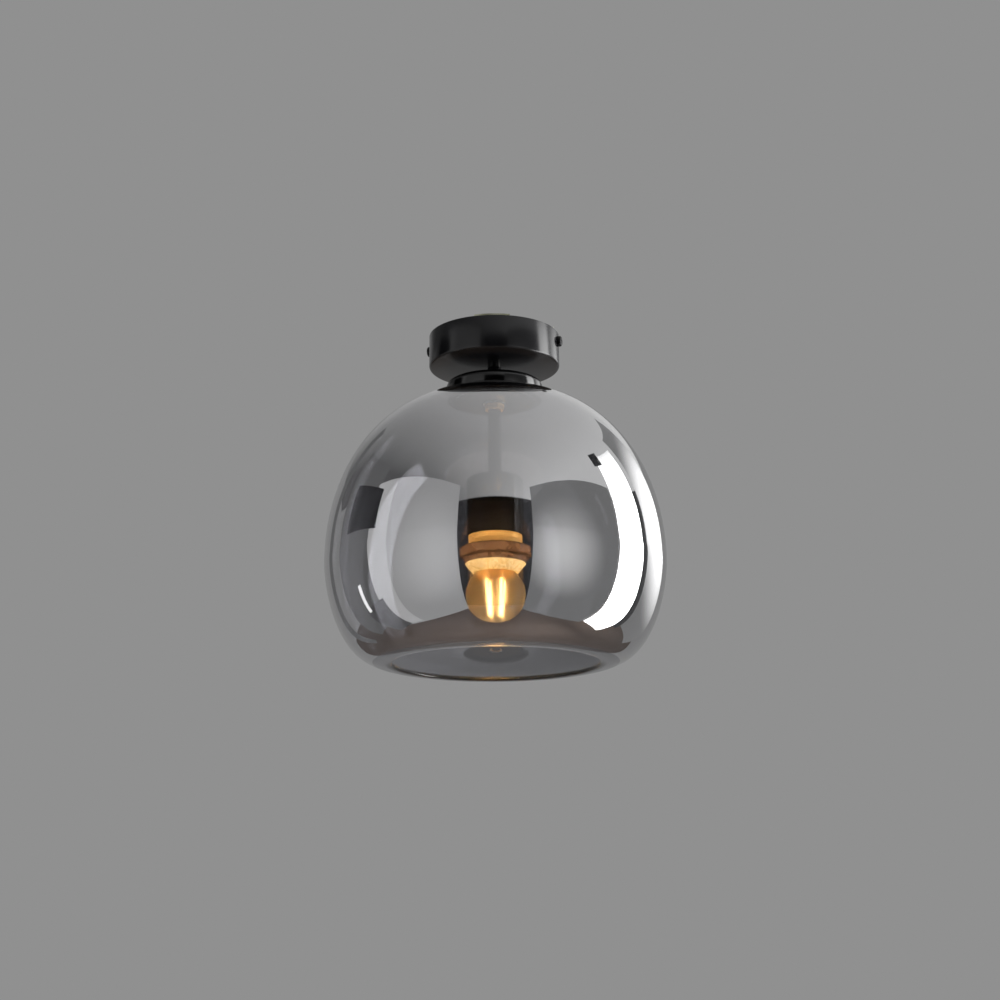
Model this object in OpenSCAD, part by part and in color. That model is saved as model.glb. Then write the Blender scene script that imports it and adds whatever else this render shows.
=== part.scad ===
// Semi-flush ceiling light: a smoked glass globe, open below, clamped under a round black canopy.
// The origin is the centre of the mounting bracket's top face, on the ceiling. The light hangs along -Z.

/* [Mounting bracket] */
// Thickness of the bracket's sheet steel
bracket_t = 1.5; // [1:0.1:2.5]
// Width of the arms that end in ears
ear_arm_w = 16; // [12:1:18]
// Width of the two plain arms
plain_arm_w = 26; // [20:1:28]
// Angle that the plain arms are turned by, away from square to the ears
plain_arm_turn = 11; // [0:1:12]
// Depth of the down-turned ears, below the ceiling
ear_drop = 15; // [13:1:20]
// Gap between an ear and the canopy's wall
ear_gap = 1; // [0.6:0.1:1.5]
// Distance between the centres of the two ceiling slots
slot_pitch = 60; // [54:1:66]
// Width of a ceiling slot
slot_w = 4.5; // [3.5:0.1:5.5]
// Length of a ceiling slot, end to end
slot_l = 14; // [8:1:16]
// Diameter of the hole for the mains cable
cable_hole_d = 12; // [8:1:16]

/* [Canopy] */
// Outer diameter of the canopy
canopy_d = 98; // [96:1:130]
// Height of the canopy
canopy_h = 24.7; // [22:0.1:40]
// Sheet thickness of the canopy
canopy_t = 0.8; // [0.6:0.1:1.5]
// Radius of the canopy's lower edge
canopy_edge_r = 1.6; // [1.2:0.1:4]
// Gap between the ceiling and the canopy's rim
canopy_gap = 1.5; // [0.5:0.1:2]

/* [Canopy screws] */
// Shank diameter of the canopy and earth screws
screw_d = 4; // [3:0.5:5]
// Length of a canopy screw under its head
screw_l = 8; // [6:1:10]
// Diameter of the screw head
screw_head_d = 8; // [6:0.5:9]
// Height of the screw head
screw_head_h = 3; // [2:0.1:4]
// Depth of the canopy screws below the ceiling
screw_drop = 8.8; // [7.5:0.1:10]

/* [Stem] */
// Outer diameter of the threaded pipe
pipe_d = 8; // [7:0.5:8.5]
// Bore of the threaded pipe
pipe_bore = 6; // [5:0.1:6.5]
// Outer diameter of the two sleeves over the pipe
sleeve_d = 10; // [9:0.5:14]
// Length of the sleeve between the canopy and the glass cap
upper_sleeve_l = 11.7; // [8:0.1:40]
// Length of the sleeve between the clamp nut and the socket cup
lower_sleeve_l = 53; // [40:1:60]
// Thickness of the pipe nuts
nut_h = 4.5; // [3:0.5:6]
// Width of the pipe nuts across flats
nut_af = 13; // [12:1:17]
// Thickness of the washers
washer_t = 1.2; // [0.8:0.1:2]
// Diameter of the washers
washer_d = 17; // [15:1:20]
// Length of pipe that stands above the upper nut
pipe_end = 2; // [1:0.5:3]

/* [Glass cap and clamp] */
// Diameter of the cap on top of the glass
cap_d = 72; // [66:1:84]
// Height of the cap
cap_h = 9.4; // [6:0.1:14]
// Sheet thickness of the cap
cap_t = 1; // [0.8:0.1:1.5]
// Radius of the cap's shoulder
cap_edge_r = 4; // [1.5:0.1:4.5]
// Width of the gasket under the cap's rim
cap_gasket_w = 2; // [1.5:0.1:4]
// Thickness of both gaskets at their thinnest place
gasket_t = 0.8; // [0.5:0.1:2]
// Diameter of the disc that clamps the glass from inside
clamp_d = 60; // [50:1:64]
// Thickness of the clamp disc
clamp_t = 1.5; // [1:0.1:3]
// Width of the gasket on the clamp disc
clamp_gasket_w = 7; // [4:0.5:9]

/* [Glass globe] */
// Widest outer diameter of the globe
glass_d = 250; // [220:1:300]
// Wall thickness of the glass
glass_t = 3; // [2:0.1:4]
// Height of the crown, from the top to the widest place
crown_h = 131.9; // [120:0.1:160]
// Height of the belly, from the widest place to the mouth
belly_h = 74; // [65:0.5:100]
// Inner diameter of the open mouth
mouth_d = 150; // [120:1:180]
// Diameter of the hole in the top
glass_hole_d = 30; // [16:1:36]
// How square the crown is across, where 2 is an ellipse
crown_across = 2.44; // [2:0.01:2.8]
// How square the crown is upwards, where 2 is an ellipse
crown_up = 2.06; // [1.8:0.01:2.4]
// How square the belly is across, where 2 is an ellipse
belly_across = 2.59; // [2:0.01:3]
// How square the belly is downwards, where 2 is an ellipse
belly_down = 1.66; // [1.5:0.01:2.2]

/* [Socket cup and lampholder] */
// Outer diameter of the black socket cup
cup_d = 42; // [41.5:0.1:46]
// Height of the socket cup
cup_h = 44.9; // [40:0.1:48]
// Sheet thickness of the socket cup
cup_t = 0.9; // [0.6:0.1:1]
// Radius of the cup's shoulder
cup_edge_r = 4; // [2:0.1:5]
// Outer diameter of the lampholder's metal shell
shell_d = 39.5; // [39:0.1:39.6]
// Wall thickness of the metal shell
shell_t = 1.4; // [1:0.1:1.6]
// Height of the metal shell
shell_h = 32.9; // [31:0.1:36]
// Diameter of the shade ring
ring_d = 52.5; // [46:0.5:60]
// Height of the shade ring
ring_h = 6.8; // [5:0.1:8]
// Drop of the shade ring's underside, from its edge to its collar
ring_drop = 1.3; // [0.5:0.1:2]
// Outer diameter of the shade ring's collar
collar_d = 45.2; // [44.4:0.1:47]
// Diameter of the ceramic skirt's flange, inside the collar
skirt_d = 42; // [41:0.1:42.4]
// Height of the ceramic skirt's flange
skirt_flange_h = 5.2; // [4:0.1:7]
// Height of the tapered nose below the flange
nose_h = 7.1; // [5:0.1:9]
// Largest diameter of the nose, just under the collar
nose_d = 44.8; // [43:0.1:46.5]
// Wall of the nose at the lampholder's mouth
nose_wall = 0.9; // [0.8:0.1:1.6]
// Inner diameter of the lampholder's mouth
nose_bore = 31.2; // [30:0.1:34]

/* [Bulb] */
// Diameter of the bulb
bulb_d = 44; // [42:0.5:48]
// Wall of the bulb's glass
bulb_t = 0.9; // [0.6:0.1:1.2]
// Height of the bulb's metal cap, with the contact
bulb_cap_h = 26; // [25:0.5:27]
// Outer diameter of the bulb's screw cap
bulb_cap_d = 25.9; // [25.5:0.1:26.1]
// Length of a filament stick
filament_l = 28.5; // [20:0.5:29]
// Diameter of a filament stick
filament_d = 1.8; // [1:0.1:2.4]

/* [Terminal block and leads] */
// Length of the terminal block
block_l = 27.5; // [27:0.5:34]
// Width of the terminal block
block_w = 15; // [14:0.5:17]
// Height of the terminal block
block_h = 12; // [11:0.5:13]
// Distance of the block's middle from the centre
block_y = 27; // [25:0.5:28]
// Distance between the poles of the block
pole_pitch = 9; // [8.5:0.1:10]
// Outer diameter of an insulated lead
lead_d = 2; // [1.6:0.1:2.2]

/* [Hidden] */
$fn = 96;

// Clearances between pieces that fit together
thread_gap = 0.05;
slide_gap = 0.15;
loose_gap = 0.3;
glass_gap = 0.15;
over = 1;

// Levels of the canopy and of what hangs from it, from the ceiling down
canopy_r = canopy_d / 2;
canopy_in_r = canopy_r - canopy_t;
canopy_bottom = -canopy_gap - canopy_h;
canopy_floor = canopy_bottom + canopy_t;
pipe_r = pipe_d / 2;
pipe_top = canopy_floor + washer_t + nut_h + pipe_end;
cap_top = canopy_bottom - upper_sleeve_l;
cap_bottom = cap_top - cap_h;
cap_r = cap_d / 2;

// Glass: the crown and the belly are each a rounded power curve about the widest level
glass_r = glass_d / 2;
glass_in_r = glass_r - glass_t;
lip_r = mouth_d / 2 + glass_t / 2;
hole_r = glass_hole_d / 2;
crown_steps = 22;
belly_steps = 18;
lip_steps = 8;
function crown_angle(r, full_r) = asin(pow(r / full_r, crown_across / 2));
function crown_rise(r, full_r, h) = h * pow(cos(crown_angle(r, full_r)), 2 / crown_up);
function crown_point(t, full_r, h) =
    [full_r * pow(sin(t), 2 / crown_across), h * pow(cos(t), 2 / crown_up)];
function belly_point(t, full_r, h) =
    [lip_r + (full_r - lip_r) * pow(sin(t), 2 / belly_across), -h * pow(cos(t), 2 / belly_down)];
cap_seat_r = cap_r - cap_gasket_w;
widest_z = cap_bottom - gasket_t - crown_rise(cap_seat_r, glass_r, crown_h);
glass_bottom = widest_z - belly_h;
function glass_over(r) = widest_z + crown_rise(r, glass_r, crown_h);
function glass_under(r) = widest_z + crown_rise(r, glass_in_r, crown_h - glass_t);

// Levels of the clamp and the socket cup
clamp_r = clamp_d / 2;
clamp_seat_r = clamp_r - loose_gap;
clamp_top = glass_under(clamp_seat_r) - gasket_t;
clamp_bottom = clamp_top - clamp_t;
clamp_nut_top = clamp_bottom - washer_t;
lower_sleeve_top = clamp_nut_top - nut_h;
cup_top = lower_sleeve_top - lower_sleeve_l;
cup_r = cup_d / 2;
cup_roof = cup_top - cup_t;
dome_top = cup_roof - nut_h;

// Lampholder, from its dome down
dome_h = 24;
dome_hub_r = 8.5;
dome_hub_h = 3;
dome_shoulder = 11;
dome_wall = 2;
boss_r = 6.5;
boss_h = 9.5;
shell_r = shell_d / 2;
shell_in_r = shell_r - shell_t;
dome_r = shell_in_r - 0.25;
dome_bottom = dome_top - dome_h;
shell_overlap = 2;
shell_top = dome_bottom + shell_overlap;
shell_bottom = shell_top - shell_h;
pipe_bottom = dome_top - boss_h + over;
insert_top = dome_bottom + 5.2;
insert_h = 16.7;
insert_bottom = insert_top - insert_h;
insert_r = dome_r - dome_wall - loose_gap;
recess_r = 9;
recess_h = 6.2;
flange_bottom = shell_bottom - skirt_flange_h;
mouth_z = flange_bottom - nose_h;
nose_r = nose_bore / 2;

// Screw shell and the E27 bulb in it
shell_sheet = 0.4;
bulb_cap_r = bulb_cap_d / 2;
screw_bore_r = bulb_cap_r + 0.4;
screw_shell_r = screw_bore_r + shell_sheet;
screw_shell_h = 26.8;
skirt_bore_r = screw_shell_r + 0.25;
contact_gap = 0.3;
tongue_drop = 3.3;
bulb_top = insert_bottom + recess_h - tongue_drop - contact_gap;
bulb_r = bulb_d / 2;
bulb_rim = bulb_top - bulb_cap_h;
tip_r = 4.7;
tip_h = 1.2;
insulator_r = 10.6;
insulator_h = 3.4;
cap_sheet = 0.4;
cap_rim_r = bulb_cap_r + 0.1;
cap_rim_h = 2.4;
neck_r = bulb_cap_r - cap_sheet - slide_gap;
neck_depth = 5;
neck_angle = 52;
neck_pull = 4;
neck_steps = 8;
bowl_steps = 24;
mouth_gap = 0.35;
bowl_top = mouth_z - (bulb_r * sin(neck_angle) - nose_r + mouth_gap) * tan(neck_angle);
bulb_centre = bowl_top - bulb_r * cos(neck_angle);

// Filaments lean in towards the end of the bulb
filament_top_r = 8;
filament_low_r = 5.4;
filament_top = bulb_centre + 11.4;
filament_low = filament_top - sqrt(pow(filament_l, 2) - pow(filament_top_r - filament_low_r, 2));
filament_count = 4;
wire_r = 0.3;
stem_r = 3.1;
stem_tip = filament_top + 2.4;
rod_r = 1;

// Terminal block
block_top = -bracket_t;
pole_z = block_top - 6;
sleeve_r = 2.6;
sleeve_bore_r = 1.6;
sleeve_l = block_w - 2;
pole_screw_r = 1.45;
pole_screw_y = 3.5;
pole_screw_l = 4.2;
fixing_r = 1.3;
fixing_head_r = 2.3;
fixing_head_h = 1.6;

// Earth screw and its tag, on the front arm
earth_y = -28;
tag_t = 0.8;
tag_r = 4.2;
tag_barrel_l = 7;
earth_head_d = 7;
earth_head_h = 2.4;
lead_r = lead_d / 2;
tag_barrel_r = lead_r + 0.5;
tag_z = block_top - tag_barrel_r - 0.3;

// Terminal posts in the lampholder
post_x = 8.5;
post_l = 7;
post_w = 6;
post_h = 5.5;
post_top = insert_top + post_h;
rivet_r = 1;
live_rivet_x = 7.8;
neutral_rivet_x = 10.8;
post_screw_r = 1.25;

function arc(cx, cy, r, a, b, n) = [for (i = [0:n]) let (t = a + (b - a) * i / n)
    [cx + r * cos(t), cy + r * sin(t)]];
function oval(cx, cy, rx, ry, a, b, n) = [for (i = [0:n]) let (t = a + (b - a) * i / n)
    [cx + rx * cos(t), cy + ry * sin(t)]];
function backwards(list) = [for (i = [len(list) - 1:-1:0]) list[i]];

// A tube that hangs from z_top
module tube(z_top, h, outer, inner) {
    difference() {
        translate([0, 0, z_top - h]) cylinder(h = h, r = outer);
        translate([0, 0, z_top - h - over]) cylinder(h = h + 2 * over, r = inner);
    }
}

module hex_nut(z_top) {
    difference() {
        translate([0, 0, z_top - nut_h])
            cylinder(h = nut_h, r = nut_af / 2 / cos(30), $fn = 6);
        translate([0, 0, z_top - nut_h - over])
            cylinder(h = nut_h + 2 * over, r = pipe_r + thread_gap);
    }
}

module rod(p, q, r) {
    d = q - p;
    translate(p) rotate([0, acos(d[2] / norm(d)), atan2(d[1], d[0])]) cylinder(h = norm(d), r = r);
}

// Pan head with a cross recess, on the origin, its shank along -Z
module pan_screw(shank_d, shank_l, head_d, head_h) {
    head_r = head_d / 2;
    edge = head_h * 0.55;
    recess = head_h * 0.6;
    difference() {
        union() {
            rotate_extrude() polygon(concat([[0, 0], [head_r, 0], [head_r, head_h - edge]],
                oval(head_r - edge, head_h - edge, edge, edge, 0, 90, 6), [[0, head_h]]));
            translate([0, 0, -shank_l]) cylinder(h = shank_l + over, d = shank_d);
        }
        for (turn = [0, 90]) rotate([0, 0, turn])
            translate([-head_r * 0.55, -head_r * 0.13, head_h - recess])
                cube([head_r * 1.1, head_r * 0.26, recess + over]);
    }
}

module slotted_screw(r, l) {
    difference() {
        cylinder(h = l, r = r);
        translate([-r - over, -0.3, -over]) cube([2 * (r + over), 0.6, over + 0.8]);
    }
}

// Smooth route through hand-set points, and a tube of 8 sides along it
function curve_at(p, i, t) = let (n = len(p) - 1, a = p[max(i - 1, 0)], b = p[i], c = p[min(i + 1, n)],
    d = p[min(i + 2, n)]) 0.5 * (2 * b + (c - a) * t + (2 * a - 5 * b + 4 * c - d) * t * t
    + (3 * b - a - 3 * c + d) * t * t * t);
function smooth(p, n) = concat([for (i = [0:len(p) - 2]) for (k = [0:n - 1]) curve_at(p, i, k / n)],
    [p[len(p) - 1]]);
function unit(v) = v / norm(v);
function heading(p, i) = unit(p[min(i + 1, len(p) - 1)] - p[max(i - 1, 0)]);
function carried(side, along) = unit(side - along * (side * along));
lead_sides = 8;
module lead(points, side, n) {
    path = smooth(points, n);
    last = len(path) - 1;
    sides = [for (i = 0, s = carried(side, heading(path, 0)); i <= last;
        i = i + 1, s = i <= last ? carried(s, heading(path, i)) : s) s];
    rings = [for (i = [0:last]) let (a = sides[i], b = cross(heading(path, i), a))
        for (k = [0:lead_sides - 1]) let (t = 360 * k / lead_sides)
            path[i] + lead_r * (a * cos(t) + b * sin(t))];
    walls = [for (i = [0:last - 1]) for (k = [0:lead_sides - 1])
        let (m = (k + 1) % lead_sides, a = i * lead_sides)
            [a + k, a + lead_sides + k, a + lead_sides + m, a + m]];
    first_end = [for (k = [0:lead_sides - 1]) k];
    last_end = [for (k = [lead_sides - 1:-1:0]) last * lead_sides + k];
    polyhedron(points = rings, faces = concat(walls, [first_end], [last_end]), convexity = 6);
}

module slot(x) {
    straight = slot_l - slot_w;
    for (end = [-1, 1]) translate([x + end * straight / 2, 0, -bracket_t - over])
        cylinder(h = bracket_t + 2 * over, d = slot_w);
    translate([x - straight / 2, -slot_w / 2, -bracket_t - over])
        cube([straight, slot_w, bracket_t + 2 * over]);
}

module mounting_bracket() {
    ear_x = canopy_in_r - ear_gap;
    color("#b9ad84") difference() {
        union() {
            intersection() {
                translate([0, 0, -bracket_t])
                    cylinder(h = bracket_t, r = canopy_in_r - ear_gap / 2);
                union() {
                    translate([-ear_x, -ear_arm_w / 2, -bracket_t])
                        cube([2 * ear_x, ear_arm_w, bracket_t]);
                    rotate([0, 0, plain_arm_turn])
                        translate([-plain_arm_w / 2, -canopy_r, -bracket_t])
                            cube([plain_arm_w, 2 * canopy_r, bracket_t]);
                }
            }
            for (side = [-1, 1])
                translate([side > 0 ? ear_x - bracket_t : -ear_x, -ear_arm_w / 2, -ear_drop])
                    cube([bracket_t, ear_arm_w, ear_drop]);
        }
        for (side = [-1, 1]) slot(side * slot_pitch / 2);
        translate([0, 0, -bracket_t - over])
            cylinder(h = bracket_t + 2 * over, d = cable_hole_d);
        translate([-canopy_r, 0, -screw_drop]) rotate([0, 90, 0])
            cylinder(h = canopy_d, d = screw_d + 2 * thread_gap);
        translate([0, earth_y, -bracket_t - over])
            cylinder(h = bracket_t + 2 * over, d = screw_d + 2 * thread_gap);
        for (side = [-1, 1]) translate([side * pole_pitch / 2, block_y, -bracket_t - over])
            cylinder(h = bracket_t + 2 * over, r = fixing_r + thread_gap);
    }
}

// A round cup, open towards +Z: r and h outside, sheet t, edge radius e, on its floor at z = 0
function cup_outline(r, h, t, e, hole) = concat([[hole, 0]], arc(r - e, e, e, -90, 0, 8), [[r, h],
    [r - t, h]], arc(r - e, e, e - t, 0, -90, 8), [[hole, t]]);

module canopy() {
    color("#2b2b2d") difference() {
        translate([0, 0, canopy_bottom]) rotate_extrude($fn = 160)
            polygon(cup_outline(canopy_r, canopy_h, canopy_t, canopy_edge_r, pipe_r + slide_gap));
        translate([-canopy_d, 0, -screw_drop]) rotate([0, 90, 0])
            cylinder(h = 2 * canopy_d, d = screw_d + 2 * loose_gap);
    }
}

module canopy_screws() {
    color("#1b1b1c") for (turn = [0, 180]) rotate([0, 0, turn])
        translate([canopy_r + thread_gap, 0, -screw_drop]) rotate([0, 90, 0])
            pan_screw(screw_d, screw_l, screw_head_d, screw_head_h);
}

module terminal_block() {
    color("#e6e2d6") difference() {
        translate([-block_l / 2, block_y - block_w / 2, block_top - block_h])
            cube([block_l, block_w, block_h]);
        for (pole = [-1:1]) {
            translate([pole * pole_pitch, block_y - block_w, pole_z]) rotate([-90, 0, 0])
                cylinder(h = 2 * block_w, r = sleeve_r + thread_gap);
            for (side = [-1, 1])
                translate([pole * pole_pitch, block_y + side * pole_screw_y, block_top - block_h - over])
                    cylinder(h = block_h - 5, r = pole_screw_r + loose_gap);
        }
        for (side = [-1, 1]) translate([side * pole_pitch / 2, block_y, block_top - block_h - over]) {
            cylinder(h = block_h + 2 * over, r = fixing_r + slide_gap);
            cylinder(h = fixing_head_h + over, r = fixing_head_r + slide_gap);
        }
    }
}

module terminal_sleeves() {
    color("#c9a84f") for (pole = [-1:1]) translate([pole * pole_pitch, block_y, pole_z])
        difference() {
            translate([0, -sleeve_l / 2, 0]) rotate([-90, 0, 0]) cylinder(h = sleeve_l, r = sleeve_r);
            translate([0, -sleeve_l, 0]) rotate([-90, 0, 0])
                cylinder(h = 2 * sleeve_l, r = sleeve_bore_r);
            for (side = [-1, 1]) translate([0, side * pole_screw_y, -sleeve_r - over])
                cylinder(h = sleeve_r + over, r = pole_screw_r + thread_gap);
        }
}

module terminal_screws() {
    color("#b9bcc0") for (pole = [-1:1]) for (side = [-1, 1])
        translate([pole * pole_pitch, block_y + side * pole_screw_y,
            pole_z - lead_r - thread_gap - pole_screw_l])
            slotted_screw(pole_screw_r, pole_screw_l);
}

module block_screws() {
    color("#b9bcc0") for (side = [-1, 1])
        translate([side * pole_pitch / 2, block_y, block_top - block_h]) {
            slotted_screw(fixing_head_r, fixing_head_h);
            translate([0, 0, over]) cylinder(h = block_h + bracket_t - over - 0.2, r = fixing_r);
        }
}

module earth_screw() {
    color("#c9a84f") translate([0, earth_y, block_top - tag_t]) rotate([180, 0, 0])
        pan_screw(screw_d, tag_t + bracket_t - 0.2, earth_head_d, earth_head_h);
}

module earth_tag() {
    barrel_y = earth_y + tag_r - 0.4;
    color("#b9bcc0") difference() {
        union() {
            translate([0, earth_y, block_top - tag_t]) cylinder(h = tag_t, r = tag_r);
            translate([0, barrel_y, tag_z]) rotate([-90, 0, 0])
                cylinder(h = tag_barrel_l, r = tag_barrel_r);
        }
        translate([0, earth_y, block_top - tag_t - over])
            cylinder(h = tag_t + 2 * over, d = screw_d + 2 * slide_gap);
        translate([0, barrel_y + over, tag_z]) rotate([-90, 0, 0])
            cylinder(h = tag_barrel_l, r = lead_r + thread_gap);
    }
}

// The two lamp leads run from the block, down the pipe, to the lampholder's posts
lead_x = pipe_bore / 4;
function lamp_route(side) = [
    [side * pole_pitch, block_y - 2, pole_z],
    [side * pole_pitch, block_y - 10, pole_z],
    [side * 7.5, 11, pole_z - 0.6],
    [side * 4, 4, pole_z - 2.5],
    [side * 1.8, 0.6, pipe_top + 2.5],
    [side * lead_x, 0, pipe_top - 2],
    [side * lead_x, 0, pipe_top - 12],
    [side * lead_x, 0, pipe_bottom + 6],
    [side * lead_x, 0, pipe_bottom],
    [side * (lead_x + 1.6), 0, pipe_bottom - 2.6],
    [side * (post_x - 1.4), 0, post_top + 2.6],
    [side * post_x, 0, post_top + 0.2],
    [side * post_x, 0, post_top - 3]];

module live_lead() color("#6b4226") lead(lamp_route(1), [0, 0, 1], 3);
module neutral_lead() color("#2f55a4") lead(lamp_route(-1), [0, 0, 1], 3);

module earth_lead() {
    color("#7fa33a") lead([
        [0, block_y - 2, pole_z],
        [0, block_y - 10, pole_z],
        [0, 8, pole_z - 0.4],
        [0, -4, pole_z - 0.2],
        [0, -13, tag_z - 0.8],
        [0, -18, tag_z],
        [0, earth_y + tag_r + 1.4, tag_z]], [0, 0, 1], 3);
}

module stem_nut() color("#b9ad84") hex_nut(canopy_floor + washer_t + nut_h);

module stem_washer()
    color("#b9bcc0") tube(canopy_floor + washer_t, washer_t, washer_d / 2, pipe_r + slide_gap);

module threaded_pipe() color("#b9ad84") tube(pipe_top, pipe_top - pipe_bottom, pipe_r, pipe_bore / 2);

module upper_sleeve()
    color("#222224") tube(canopy_bottom, upper_sleeve_l, sleeve_d / 2, pipe_r + slide_gap);

module lower_sleeve()
    color("#222224") tube(lower_sleeve_top, lower_sleeve_l, sleeve_d / 2, pipe_r + slide_gap);

module glass_cap() {
    color("#161617") translate([0, 0, cap_top]) rotate([180, 0, 0]) rotate_extrude($fn = 144)
        polygon(cup_outline(cap_r, cap_h, cap_t, cap_edge_r, pipe_r + slide_gap));
}

module upper_gasket() {
    color("#111111") rotate_extrude($fn = 144) polygon([
        [cap_seat_r, cap_bottom],
        [cap_seat_r, glass_over(cap_seat_r) + glass_gap],
        [cap_r - cap_gasket_w / 2, glass_over(cap_r - cap_gasket_w / 2) + glass_gap],
        [cap_r, glass_over(cap_r) + glass_gap],
        [cap_r, cap_bottom]]);
}

// The glass wall: outside down from the hole, round the lip, and up the inside
function crown_line(full_r, h) = let (first = crown_angle(hole_r, full_r))
    [for (i = [0:crown_steps]) crown_point(first + (90 - first) * i / crown_steps, full_r, h)];
function belly_line(full_r, h) = [for (i = [1:belly_steps]) belly_point(90 - 90 * i / belly_steps,
    full_r, h)];
module glass_shade() {
    outside = concat(crown_line(glass_r, crown_h), belly_line(glass_r, belly_h));
    inside = concat(crown_line(glass_in_r, crown_h - glass_t),
        belly_line(glass_in_r, belly_h - glass_t));
    lip = arc(lip_r, glass_t / 2 - belly_h, glass_t / 2, -90 - 180 / lip_steps,
        -270 + 180 / lip_steps, lip_steps - 2);
    color("#8d9095", 0.5) translate([0, 0, widest_z]) rotate_extrude($fn = 180)
        polygon(concat(outside, lip, backwards(inside)));
}

module lower_gasket() {
    inner = clamp_seat_r - clamp_gasket_w;
    middle = clamp_seat_r - clamp_gasket_w / 2;
    color("#d9d9d4") rotate_extrude($fn = 120) polygon([
        [inner, clamp_top],
        [inner, glass_under(inner) - glass_gap],
        [middle, glass_under(middle) - glass_gap],
        [clamp_seat_r, glass_under(clamp_seat_r) - glass_gap],
        [clamp_seat_r, clamp_top]]);
}

module clamp_disc() color("#19191b") tube(clamp_top, clamp_t, clamp_r, pipe_r + slide_gap);

module clamp_washer()
    color("#b9bcc0") tube(clamp_bottom, washer_t, washer_d / 2, pipe_r + slide_gap);

module clamp_nut() color("#b08d4a") hex_nut(clamp_nut_top);

module socket_cup() {
    color("#1d1d1f") translate([0, 0, cup_top]) rotate([180, 0, 0]) rotate_extrude($fn = 120)
        polygon(cup_outline(cup_r, cup_h, cup_t, cup_edge_r, pipe_r + slide_gap));
}

module cup_nut() color("#b08d4a") hex_nut(cup_roof);

module holder_dome() {
    in_r = dome_r - dome_wall;
    roof = dome_hub_h + dome_wall;
    color("#2a2420") translate([0, 0, dome_top]) rotate_extrude() polygon(concat(
        [[pipe_r + thread_gap, 0], [dome_hub_r, 0]],
        backwards(oval(dome_hub_r, -dome_shoulder, dome_r - dome_hub_r, dome_shoulder - dome_hub_h,
            0, 90, 10)),
        [[dome_r, -dome_h], [in_r, -dome_h]],
        oval(boss_r, -dome_shoulder, in_r - boss_r, dome_shoulder - roof, 0, 90, 10),
        [[boss_r, -boss_h], [pipe_r + thread_gap, -boss_h]]));
}

// Brass shell with a shallow groove just under the socket cup
module holder_shell() {
    groove_z = cup_top - cup_h - 3.2;
    color("#c08a3a") difference() {
        tube(shell_top, shell_h, shell_r, shell_in_r);
        tube(groove_z, 0.8, shell_r + over, shell_r - 0.4);
    }
}

module holder_insert() {
    color("#efece2") difference() {
        union() {
            translate([0, 0, dome_bottom - over])
                cylinder(h = insert_top - dome_bottom + over, r = insert_r);
            translate([0, 0, insert_bottom])
                cylinder(h = dome_bottom - insert_bottom, r = dome_r);
        }
        translate([0, 0, insert_bottom - over]) cylinder(h = recess_h + over, r = recess_r);
        for (x = [live_rivet_x, -neutral_rivet_x]) translate([x, 0, insert_bottom - over])
            cylinder(h = insert_h + 2 * over, r = rivet_r + thread_gap);
    }
}

module terminal_posts() {
    color("#c9a84f") for (side = [-1, 1]) {
        x = side > 0 ? live_rivet_x : -neutral_rivet_x;
        low = side > 0 ? insert_bottom + recess_h : insert_bottom;
        difference() {
            translate([side * post_x - post_l / 2, -post_w / 2, insert_top])
                cube([post_l, post_w, post_h]);
            translate([side * post_x, 0, post_top - 3.5])
                cylinder(h = 3.5 + over, r = lead_r + slide_gap);
            translate([side * post_x, 0, post_top - 2]) rotate([90, 0, 0])
                cylinder(h = post_w, r = post_screw_r + thread_gap);
        }
        translate([x, 0, low]) cylinder(h = insert_top - low + over, r = rivet_r);
    }
}

module post_screws() {
    color("#b9bcc0") for (side = [-1, 1])
        translate([side * post_x, -post_w / 2 - 0.8, post_top - 2]) rotate([-90, 0, 0])
            slotted_screw(post_screw_r, post_w / 2 + 0.8 - lead_r - thread_gap);
}

module screw_shell() {
    color("#d0b060") {
        difference() {
            tube(insert_bottom, screw_shell_h, screw_shell_r, screw_bore_r);
            translate([0, 0, insert_bottom - shell_sheet])
                cylinder(h = shell_sheet + over, r = screw_shell_r + over);
        }
        tube(insert_bottom, shell_sheet, screw_shell_r, recess_r);
    }
}

// Spring tongue that the bulb's contact presses on
module centre_contact() {
    roof = insert_bottom + recess_h;
    sheet = 0.5;
    w = 5;
    low = roof - tongue_drop;
    color("#c9a84f") translate([0, w / 2, 0]) rotate([90, 0, 0]) linear_extrude(height = w)
        polygon([[8.6, roof], [8.6, roof - sheet], [4.2, roof - sheet], [-1, low], [-4, low],
            [-4, low + sheet], [-1.2, low + sheet], [4, roof]]);
}

module ceramic_skirt() {
    color("#f3ecd8") rotate_extrude() polygon([
        [skirt_bore_r, insert_bottom],
        [dome_r, insert_bottom],
        [dome_r, shell_bottom],
        [skirt_d / 2, shell_bottom],
        [skirt_d / 2, flange_bottom],
        [nose_d / 2, flange_bottom],
        [nose_r + nose_wall, mouth_z],
        [nose_r, mouth_z],
        [skirt_bore_r, flange_bottom]]);
}

// Ring round the metal shell; its collar comes down over the flange of the skirt
module shade_ring() {
    edge = 0.8;
    inner = shell_r + loose_gap;
    outer = ring_d / 2;
    collar_in = skirt_d / 2 + loose_gap;
    color("#1a1a1c") rotate_extrude($fn = 120) polygon([
        [inner, shell_bottom],
        [collar_in, shell_bottom],
        [collar_in, flange_bottom],
        [collar_d / 2, flange_bottom],
        [collar_d / 2, shell_bottom - ring_drop],
        [outer - edge, shell_bottom],
        [outer, shell_bottom + edge],
        [outer, shell_bottom + ring_h - edge],
        [outer - edge, shell_bottom + ring_h],
        [inner, shell_bottom + ring_h]]);
}

module bulb_contact() {
    color("#b9bcc0") translate([0, 0, bulb_top]) rotate_extrude()
        polygon([[0, 0], [tip_r * 0.6, 0], [tip_r, -tip_h * 0.6], [tip_r, -tip_h], [0, -tip_h]]);
}

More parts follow.
